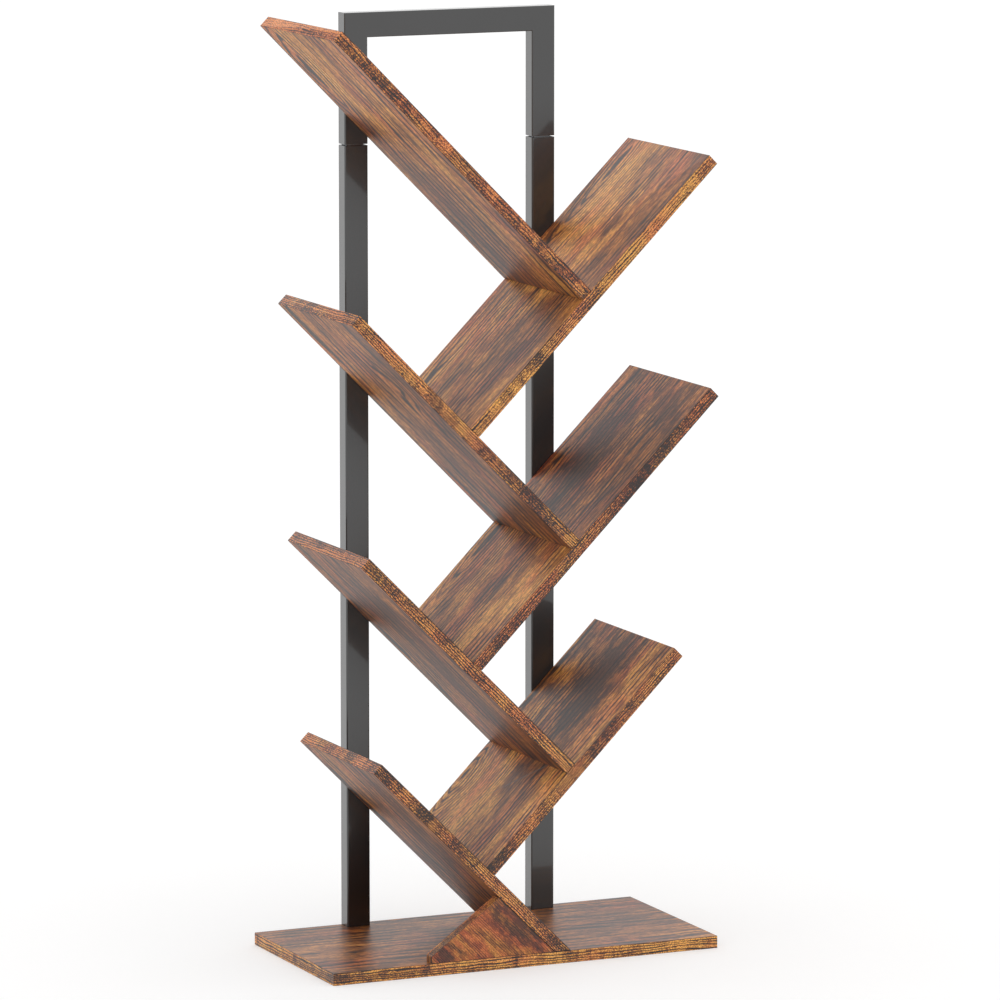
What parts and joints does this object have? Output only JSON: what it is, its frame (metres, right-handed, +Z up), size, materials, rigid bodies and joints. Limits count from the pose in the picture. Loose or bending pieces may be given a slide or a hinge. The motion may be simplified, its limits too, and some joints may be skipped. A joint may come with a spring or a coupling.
{
  "type": "tree shaped bookshelf",
  "caption": "Free-standing tree shaped bookshelf: sloping laminate boards zigzag up a flat base, bolted to a rear frame of dark steel tube.",
  "frame": {"origin": "on the floor, under the centre of the box that holds the base board and the bolt heads behind the posts", "axes": "+Z up, +X to the right of a person who faces the shelves, +Y towards the back, so the front faces -Y"},
  "size_m": [0.5, 0.248, 1.12],
  "materials": {
    "laminate_board": "rustic brown wood-grain laminate, satin",
    "powder_coated_tube": "dark grey powder coat, satin",
    "bare_steel": "bare mill finish",
    "zinc_screw": "bright zinc plate",
    "black_bolt": "black oxide",
    "beech_dowel": "plain beech"
  },
  "bodies": {
    "root": {"base_board": "laminate_board", "top_frame": "powder_coated_tube", "left_post": "powder_coated_tube", "right_post": "powder_coated_tube", "left_joint_stub": "bare_steel", "left_joint_screw_upper": "black_bolt", "left_joint_screw_lower": "black_bolt", "right_joint_stub": "bare_steel", "right_joint_screw_upper": "black_bolt", "right_joint_screw_lower": "black_bolt", "left_post_foot_plug": "bare_steel", "left_foot_bolt": "zinc_screw", "right_post_foot_plug": "bare_steel", "right_foot_bolt": "zinc_screw", "left_shelf_1": "laminate_board", "left_shelf_2": "laminate_board", "left_shelf_3": "laminate_board", "left_shelf_4": "laminate_board", "right_shelf_1": "laminate_board", "connecting_screw_1_front": "zinc_screw", "connecting_screw_1_rear": "zinc_screw", "dowel_1_front": "beech_dowel", "dowel_1_rear": "beech_dowel", "right_shelf_2": "laminate_board", "connecting_screw_2_front": "zinc_screw", "connecting_screw_2_rear": "zinc_screw", "dowel_2_front": "beech_dowel", "dowel_2_rear": "beech_dowel", "right_shelf_3": "laminate_board", "connecting_screw_3_front": "zinc_screw", "connecting_screw_3_rear": "zinc_screw", "dowel_3_front": "beech_dowel", "dowel_3_rear": "beech_dowel", "left_shelf_insert_1": "zinc_screw", "left_shelf_bolt_1": "black_bolt", "left_shelf_insert_2": "zinc_screw", "left_shelf_bolt_2": "black_bolt", "left_shelf_insert_3": "zinc_screw", "left_shelf_bolt_3": "black_bolt", "left_shelf_insert_4": "zinc_screw", "left_shelf_bolt_4": "black_bolt", "right_shelf_insert_1": "zinc_screw", "right_shelf_bolt_1": "black_bolt", "right_shelf_insert_2": "zinc_screw", "right_shelf_bolt_2": "black_bolt", "right_shelf_insert_3": "zinc_screw", "right_shelf_bolt_3": "black_bolt", "base_screw_front": "zinc_screw", "base_screw_rear": "zinc_screw", "foot_gusset": "laminate_board", "gusset_screw_1": "zinc_screw", "gusset_screw_2": "zinc_screw", "gusset_dowel": "beech_dowel"}
  },
  "joints": []
}
